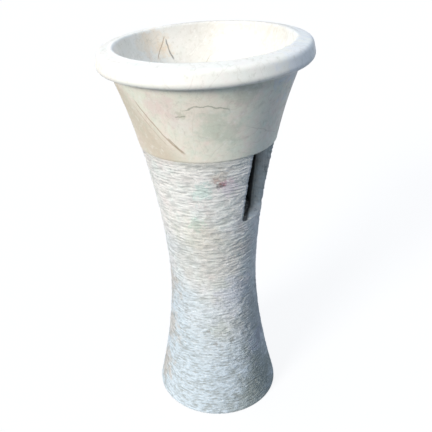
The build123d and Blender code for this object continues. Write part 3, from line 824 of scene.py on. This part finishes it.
def make_chisel_tree():
    """Geometry nodes that cut rows of point chisel furrows into the points marked tooled."""
    tree = bpy.data.node_groups.new("chisel_rows", "GeometryNodeTree")
    tree.interface.new_socket("Geometry", in_out="OUTPUT", socket_type="NodeSocketGeometry")
    tree.interface.new_socket("Geometry", in_out="INPUT", socket_type="NodeSocketGeometry")
    for name, value in (
        ("Row Pitch", 7.6 * MM),
        ("Furrow Depth", 1.6 * MM),
        ("Stroke Length", 18 * MM),
        ("Waver", 10 * MM),
        ("Pit Depth", 1.0 * MM),
        ("Proud Ridges", 0.8 * MM),
        ("Broken Below", 420 * MM),
        ("Seed", 3.0),
    ):
        socket = tree.interface.new_socket(name, in_out="INPUT", socket_type="NodeSocketFloat")
        socket.default_value = value
    given = add(tree, "NodeGroupInput").outputs
    place = add(tree, "GeometryNodeInputPosition")
    axes = add(tree, "ShaderNodeSeparateXYZ", {0: place})
    # rows that waver up and down as the mason worked round
    slow = add(
        tree,
        "ShaderNodeTexNoise",
        {"Vector": place, "W": given["Seed"], "Scale": 1 / (60 * MM), "Detail": 1.0},
        noise_dimensions="4D",
    )
    quick = add(
        tree,
        "ShaderNodeTexNoise",
        {"Vector": place, "W": given["Seed"], "Scale": 1 / (18 * MM), "Detail": 2.0},
        noise_dimensions="4D",
    )
    quick = add(tree, "ShaderNodeMath", {0: quick, 1: 0.42}, operation="MULTIPLY")
    drift = add(tree, "ShaderNodeMath", {0: slow, 1: quick}, operation="ADD")
    drift = add(tree, "ShaderNodeMath", {0: drift, 1: given["Waver"]}, operation="MULTIPLY")
    level = add(tree, "ShaderNodeMath", {0: axes.outputs["Z"], 1: drift}, operation="ADD")
    rows = add(tree, "ShaderNodeMath", {0: level, 1: given["Row Pitch"]}, operation="DIVIDE")
    # furrow: nothing at a ridge, full at the middle of a row
    furrow = add(tree, "ShaderNodeMath", {0: rows, 1: 0.5}, operation="PINGPONG")
    furrow = add(tree, "ShaderNodeMath", {0: furrow, 1: 2.0}, operation="MULTIPLY")
    hollow = add(tree, "ShaderNodeMath", {0: furrow, 1: 0.65}, operation="POWER")
    # strokes: each row is a string of deeper and shallower cuts
    row = add(tree, "ShaderNodeMath", {0: rows}, operation="FLOOR")
    row = add(tree, "ShaderNodeMath", {0: row, 1: ROW_SHUFFLE}, operation="MULTIPLY")
    flat = add(tree, "ShaderNodeVectorMath", {0: place, 1: (1.0, 1.0, 0.15)}, operation="MULTIPLY")
    per_stroke = add(tree, "ShaderNodeMath", {0: 1.0, 1: given["Stroke Length"]}, operation="DIVIDE")
    stroke = add(
        tree,
        "ShaderNodeTexNoise",
        {"Vector": flat, "W": row, "Scale": per_stroke, "Detail": 2.0},
        noise_dimensions="4D",
    )
    stroke = add(
        tree,
        "ShaderNodeMapRange",
        {"Value": stroke, "From Min": 0.34, "From Max": 0.64, "To Min": 0.0, "To Max": 1.25},
    )
    cut = add(tree, "ShaderNodeMath", {0: hollow, 1: stroke}, operation="MULTIPLY")
    # ridges: broken off here and there
    ridge = add(tree, "ShaderNodeMath", {0: rows}, operation="ROUND")
    ridge = add(tree, "ShaderNodeMath", {0: ridge, 1: RIDGE_SHUFFLE}, operation="MULTIPLY")
    spall = add(
        tree,
        "ShaderNodeTexNoise",
        {"Vector": flat, "W": ridge, "Scale": per_stroke, "Detail": 2.0},
        noise_dimensions="4D",
    )
    spall = add(
        tree, "ShaderNodeMapRange", {"Value": spall, "From Min": 0.47, "From Max": 0.64, "To Max": 0.85}
    )
    crest = add(tree, "ShaderNodeMath", {0: 1.0, 1: furrow}, operation="SUBTRACT")
    broken = add(tree, "ShaderNodeMath", {0: spall, 1: crest}, operation="MULTIPLY")
    cut = add(tree, "ShaderNodeMath", {0: cut, 1: broken}, operation="ADD")
    cut = add(tree, "ShaderNodeMath", {0: cut, 1: given["Furrow Depth"]}, operation="MULTIPLY")
    # towards the foot the rows are lost in rougher, more broken work
    lower = add(
        tree, "ShaderNodeMath", {0: given["Broken Below"], 1: axes.outputs["Z"]}, operation="SUBTRACT"
    )
    lower = add(tree, "ShaderNodeMapRange", {"Value": lower, "From Min": -60 * MM, "From Max": 140 * MM})
    kept = add(tree, "ShaderNodeMapRange", {"Value": lower, "To Min": 1.0, "To Max": 0.75})
    cut = add(tree, "ShaderNodeMath", {0: cut, 1: kept}, operation="MULTIPLY")
    # pits where the point was driven in, and crumbled grains
    squashed = add(tree, "ShaderNodeVectorMath", {0: place, 1: (1.0, 1.0, 2.6)}, operation="MULTIPLY")
    pits = add(tree, "ShaderNodeTexVoronoi", {"Vector": squashed, "Scale": 1 / (11 * MM)})
    pits = add(tree, "ShaderNodeMapRange", {"Value": pits, "From Min": 0.5, "From Max": 0.05})
    some = add(tree, "ShaderNodeTexNoise", {"Vector": place, "Scale": 1 / (30 * MM), "Detail": 1.0})
    some = add(tree, "ShaderNodeMapRange", {"Value": some, "From Min": 0.45, "From Max": 0.65})
    some = add(tree, "ShaderNodeMath", {0: some, 1: lower}, operation="ADD")
    pits = add(tree, "ShaderNodeMath", {0: pits, 1: some}, operation="MULTIPLY")
    crumbs = add(
        tree,
        "ShaderNodeTexNoise",
        {"Vector": squashed, "Scale": 1 / (8 * MM), "Detail": 3.0, "Roughness": 0.7},
    )
    crumbs = add(
        tree, "ShaderNodeMapRange", {"Value": crumbs, "From Min": 0.35, "From Max": 0.70, "To Max": 1.2}
    )
    pits = add(tree, "ShaderNodeMath", {0: pits, 1: crumbs}, operation="ADD")
    pits = add(tree, "ShaderNodeMath", {0: pits, 1: given["Pit Depth"]}, operation="MULTIPLY")
    relief = add(tree, "ShaderNodeMath", {0: cut, 1: pits}, operation="ADD")
    relief = add(tree, "ShaderNodeMath", {0: relief, 1: given["Proud Ridges"]}, operation="SUBTRACT")
    marked = add(tree, "GeometryNodeInputNamedAttribute", {"Name": "tooled"}, data_type="FLOAT")
    relief = add(tree, "ShaderNodeMath", {0: relief, 1: marked}, operation="MULTIPLY")
    # the work dies out just under the seam
    nearly_smooth, full = SEAM - SMOOTH_BELOW_SEAM, SEAM - FULL_BELOW_SEAM
    under = add(
        tree,
        "ShaderNodeMapRange",
        {"Value": axes.outputs["Z"], "From Min": nearly_smooth, "From Max": full, "To Min": 0.25},
    )
    relief = add(tree, "ShaderNodeMath", {0: relief, 1: under}, operation="MULTIPLY")
    # move each point towards the axis by its relief
    radial = add(tree, "ShaderNodeCombineXYZ", {"X": axes.outputs["X"], "Y": axes.outputs["Y"]})
    radial = add(tree, "ShaderNodeVectorMath", {0: radial}, operation="NORMALIZE")
    inwards = add(tree, "ShaderNodeMath", {0: relief, 1: -1.0}, operation="MULTIPLY")
    move = add(tree, "ShaderNodeVectorMath", {0: radial, "Scale": inwards}, operation="SCALE")
    depth = add(tree, "ShaderNodeMath", {0: relief, 1: given["Furrow Depth"]}, operation="DIVIDE")
    stored = add(
        tree,
        "GeometryNodeStoreNamedAttribute",
        {"Geometry": given["Geometry"], "Name": "relief", "Value": depth},
        data_type="FLOAT",
        domain="POINT",
    )
    cut_stone = add(tree, "GeometryNodeSetPosition", {"Geometry": stored, "Offset": move.outputs["Vector"]})
    real = add(tree, "GeometryNodeRealizeInstances", {"Geometry": cut_stone})
    skin = add(tree, "GeometryNodeInputNamedAttribute", {"Name": "skin"}, data_type="INT")
    done = add(
        tree, "GeometryNodeSetMaterial", {"Geometry": real, "Selection": skin, "Material": dressed_limestone}
    )
    add(tree, "NodeGroupOutput", {"Geometry": done})
    return tree


def evaluated_mesh(mesh, name, tree=None, cutters=None):
    """Plain mesh left by a geometry nodes tree, or by cutting a mesh's solid away."""
    thing = new_object("work", mesh)
    if tree:
        thing.modifiers.new("nodes", "NODES").node_group = tree
    if cutters:
        tool = new_object("tool", cutters)
        cut = thing.modifiers.new("cut", "BOOLEAN")
        cut.object = tool
        cut.solver = "EXACT"
    seen = thing.evaluated_get(bpy.context.evaluated_depsgraph_get())
    result = bpy.data.meshes.new_from_object(seen)
    result.name = name
    bpy.data.objects.remove(thing)
    if cutters:
        bpy.data.objects.remove(tool)
    return result


chiselled = evaluated_mesh(make_shaft_shell(), "chiselled_shaft", tree=make_chisel_tree())
piece("chiselled_shaft", chiselled, "pedestal", "shaft")


# Bowl block


def arc(centre, radius, start, end):
    """Points of radius and height along an arc, from one angle in degrees to another, both left out."""
    steps = max(4, round(abs(radians(end - start)) * radius / BOWL_STEP))
    turns = [radians(start + (end - start) * i / steps) for i in range(1, steps)]
    return [(centre[0] + radius * cos(a), centre[1] + radius * sin(a)) for a in turns]


def straight(start, end):
    """Points between two ends, with the first end."""
    length = (Vector(end) - Vector(start)).length
    steps = max(1, round(length / BOWL_STEP))
    return [tuple(Vector(start).lerp(Vector(end), i / steps)) for i in range(steps)]


def flank_points():
    """Gently bowed flank, from the bevel at the seam up to the neck."""
    start = Vector((SEAM_RADIUS, SEAM + SEAM_BEVEL))
    end = Vector((NECK_RADIUS, TOP - RIM_DROP - RIM_TUCK))
    along = end - start
    inwards = Vector((-along.y, along.x)).normalized()
    steps = round(along.length / BOWL_STEP)
    points = []
    for i in range(steps + 1):
        share = i / steps
        points.append(tuple(start + along * share + inwards * FLANK_SAG * 4 * share * (1 - share)))
    return points


def basin_points():
    """Hollowed basin, from the lip down to the edge of its floor."""
    depth = TOP - LIP_ROUND - BASIN_FLOOR
    centre = (TOP - LIP_ROUND + BASIN_FLOOR + (MOUTH_RADIUS**2 - FLOOR_RADIUS**2) / depth) / 2
    radius = sqrt(MOUTH_RADIUS**2 + (centre - TOP + LIP_ROUND) ** 2)
    steps = round(depth * 1.25 / BOWL_STEP)  # the basin's side is that much longer than its depth
    heights = [TOP - LIP_ROUND - depth * i / steps for i in range(steps + 1)]
    return [(sqrt(radius**2 - (centre - h) ** 2), h) for h in heights]


def rim_points():
    """Tucked underside, leaning side, brow, falling top and lip of the rim, from the outside in."""
    widest = TOP - RIM_DROP
    side, top = radians(RIM_LEAN), radians(90 - RIM_FALL)
    side_out, top_out = Vector((cos(side), sin(side))), Vector((cos(top), sin(top)))
    tuck = Vector((RIM_RADIUS - RIM_TUCK, widest))
    lip = Vector((MOUTH_RADIUS + LIP_ROUND, TOP - LIP_ROUND))
    # the brow's centre lies inside the side and the top by its own radius
    deep = Matrix((side_out, top_out)).inverted()
    brow = deep @ Vector((side_out.dot(tuck) + RIM_TUCK - RIM_BROW, top_out.dot(lip) + LIP_ROUND - RIM_BROW))
    points = [(tuck.x, widest - RIM_TUCK)] + arc(tuck, RIM_TUCK, -90, RIM_LEAN)
    points += straight(tuck + side_out * RIM_TUCK, brow + side_out * RIM_BROW)
    points += [tuple(brow + side_out * RIM_BROW)] + arc(brow, RIM_BROW, RIM_LEAN, 90 - RIM_FALL)
    points += straight(brow + top_out * RIM_BROW, lip + top_out * LIP_ROUND)
    return points + [tuple(lip + top_out * LIP_ROUND)] + arc(lip, LIP_ROUND, 90 - RIM_FALL, 180)


def bowl_profile():
    """Closed outline of the bowl block as radius and height, from the drain hole outwards."""
    neck = TOP - RIM_DROP - RIM_TUCK
    profile = straight((DRAIN_HOLE_RADIUS, SEAM), (SEAM_RADIUS - SEAM_BEVEL, SEAM))
    profile += [(SEAM_RADIUS - SEAM_BEVEL, SEAM)] + flank_points()
    profile += straight((NECK_RADIUS, neck), (RIM_RADIUS - RIM_TUCK, neck))[1:]
    profile += rim_points() + basin_points()
    profile += straight((FLOOR_RADIUS, BASIN_FLOOR), (RECESS_RADIUS, BASIN_FLOOR))[1:]
    profile += straight((RECESS_RADIUS, BASIN_FLOOR), (RECESS_RADIUS, RECESS_FLOOR))
    profile += straight((RECESS_RADIUS, RECESS_FLOOR), (DRAIN_HOLE_RADIUS, RECESS_FLOOR))
    profile += straight((DRAIN_HOLE_RADIUS, RECESS_FLOOR), (DRAIN_HOLE_RADIUS, SEAM))
    return profile


def rubbed(radius, height, angle):
    """A point of the block, moved in a little where rubbing took more stone."""
    point = Vector((radius * cos(angle), radius * sin(angle), height))
    if radius < FLOOR_RADIUS or height < SEAM + SEAM_BEVEL:
        return point
    wear = HAND_RUBBING * max(0.0, 0.5 + 0.5 * noise.noise(point / RUBBED_SPAN))
    return Vector((point.x * (1 - wear / radius), point.y * (1 - wear / radius), height))


def make_bowl_mesh():
    """The block's profile turned round its axis, without the dowel sockets."""
    mesh = bmesh.new()
    rings = []
    for radius, height in bowl_profile():
        angles = [2 * pi * i / BOWL_COLUMNS for i in range(BOWL_COLUMNS)]
        rings.append([mesh.verts.new(rubbed(radius, height, a)) for a in angles])
    for ring, following in zip(rings, rings[1:] + rings[:1]):
        for i in range(BOWL_COLUMNS):
            j = (i + 1) % BOWL_COLUMNS
            mesh.faces.new([ring[i], ring[j], following[j], following[i]])
    return finished(mesh, "polished_bowl", rubbed_limestone, crease=28)


def make_sockets():
    """Bars that cut the three dowel sockets."""
    mesh = bmesh.new()
    depth = SOCKET_TOP - SEAM
    for degrees in SOCKET_ANGLES:
        a = radians(degrees)
        middle = Matrix.Translation((SOCKET_PITCH * cos(a), SOCKET_PITCH * sin(a), SEAM + depth / 2 - MM))
        bmesh.ops.create_cone(
            mesh,
            cap_ends=True,
            segments=32,
            radius1=SOCKET_RADIUS,
            radius2=SOCKET_RADIUS,
            depth=depth + 2 * MM,
            matrix=middle,
        )
    return finished(mesh, "sockets")


block = evaluated_mesh(make_bowl_mesh(), "polished_bowl", cutters=make_sockets())
piece("polished_bowl", block, "bowl_assembly", "bowl")


# Nodes of the solid model that keep their shape

FINISHES = {
    "niche_shelf": sawn_limestone,
    "dowels": bright_steel,
    "flange_gasket": black_rubber,
    "drain_body": satin_brass,
    "drain_strainer": satin_brass,
    "strainer_knob": satin_brass,
    "nut_washer": black_rubber,
    "backnut": satin_brass,
    "union_washer": black_rubber,
    "union_nut": grey_polypropylene,
    "drop_pipe": grey_polypropylene,
}
for node, material in FINISHES.items():
    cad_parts[node].data.materials.clear()
    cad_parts[node].data.materials.append(material)


# Floor, world and lamp

KEY_TURN = -42.0  # degrees from the view towards its left
KEY_HEIGHT = 26.0  # degrees above the floor
KEY_STRENGTH = 3.35
KEY_SPREAD = 20.0  # degrees across, for soft edges of shadows
KEY_COLOUR = "#fffbf4"
HORIZON_COLOUR = "#b2d2f8"
HORIZON_STRENGTH = 0.245
ZENITH_COLOUR = "#dfecff"
ZENITH_STRENGTH = 1.25
SKY_RISE = 1.6  # power of the height by which the horizon goes over into the zenith
FLOOR_HALF = 30.0
FLOOR_BOUNCE = "#737c85"  # its colour as the planter is lit by it
FLOOR_SHADE = 0.13  # share of the floor's white that a shadow takes away
WHITE = "#ffffff"


def seen_directly(tree):
    """1 where it is seen, also in a glossy piece or through a clear one, and 0 where it only gives light."""
    path = add(tree, "ShaderNodeLightPath").outputs
    either = add(
        tree, "ShaderNodeMath", {0: path["Is Camera Ray"], 1: path["Is Glossy Ray"]}, operation="MAXIMUM"
    )
    return add(tree, "ShaderNodeMath", {0: either, 1: path["Is Transmission Ray"]}, operation="MAXIMUM")


def make_floor():
    """Plain pale floor that is white to the camera except where the planter shades it."""
    mesh = bmesh.new()
    bmesh.ops.create_grid(mesh, x_segments=1, y_segments=1, size=FLOOR_HALF)
    material, tree = start_material("pale_floor")
    bounce = add(tree, "ShaderNodeBsdfDiffuse", {"Color": linear(FLOOR_BOUNCE)})
    shade = add(tree, "ShaderNodeBsdfDiffuse", {"Color": (FLOOR_SHADE, FLOOR_SHADE, FLOOR_SHADE, 1.0)})
    glow = add(tree, "ShaderNodeEmission", {"Color": linear(WHITE), "Strength": 1 - FLOOR_SHADE})
    seen = add(tree, "ShaderNodeAddShader", {0: shade, 1: glow})
    mixed = add(tree, "ShaderNodeMixShader", {0: seen_directly(tree), 1: bounce, 2: seen})
    add(tree, "ShaderNodeOutputMaterial", {"Surface": mixed})
    new_object("floor", finished(mesh, "floor", material))


def make_world():
    """Soft blue light, strongest overhead, and white where the camera looks past the floor."""
    world = bpy.data.worlds.new("studio")
    world.use_nodes = True
    tree = world.node_tree
    tree.nodes.clear()
    away = add(tree, "ShaderNodeTexCoord").outputs["Generated"]
    upward = add(tree, "ShaderNodeSeparateXYZ", {0: away}).outputs["Z"]
    upward = add(tree, "ShaderNodeMath", {0: upward, 1: 0.0}, operation="MAXIMUM")
    upward = add(tree, "ShaderNodeMath", {0: upward, 1: SKY_RISE}, operation="POWER")
    sky = add(
        tree, "ShaderNodeMapRange", {"Value": upward, "To Min": HORIZON_STRENGTH, "To Max": ZENITH_STRENGTH}
    )
    blue = add(
        tree,
        "ShaderNodeMix",
        {"Factor": upward, 6: linear(HORIZON_COLOUR), 7: linear(ZENITH_COLOUR)},
        data_type="RGBA",
    )
    soft = add(tree, "ShaderNodeBackground", {"Color": blue, "Strength": sky})
    white = add(tree, "ShaderNodeBackground", {"Color": linear(WHITE), "Strength": 1.0})
    mixed = add(tree, "ShaderNodeMixShader", {0: seen_directly(tree), 1: soft, 2: white})
    add(tree, "ShaderNodeOutputWorld", {"Surface": mixed})
    bpy.context.scene.world = world


make_floor()
make_world()
lamp = new_object("key", bpy.data.lights.new("key", "SUN"))
lamp.data.energy = KEY_STRENGTH
lamp.data.angle = radians(KEY_SPREAD)
lamp.data.color = linear(KEY_COLOUR)[:3]
turn = Matrix.Rotation(radians(VIEW_AZIMUTH + KEY_TURN), 4, "Z")
lamp.matrix_world = turn @ Matrix.Rotation(radians(90 - KEY_HEIGHT), 4, "X")

bpy.context.scene.view_settings.view_transform = "Standard"
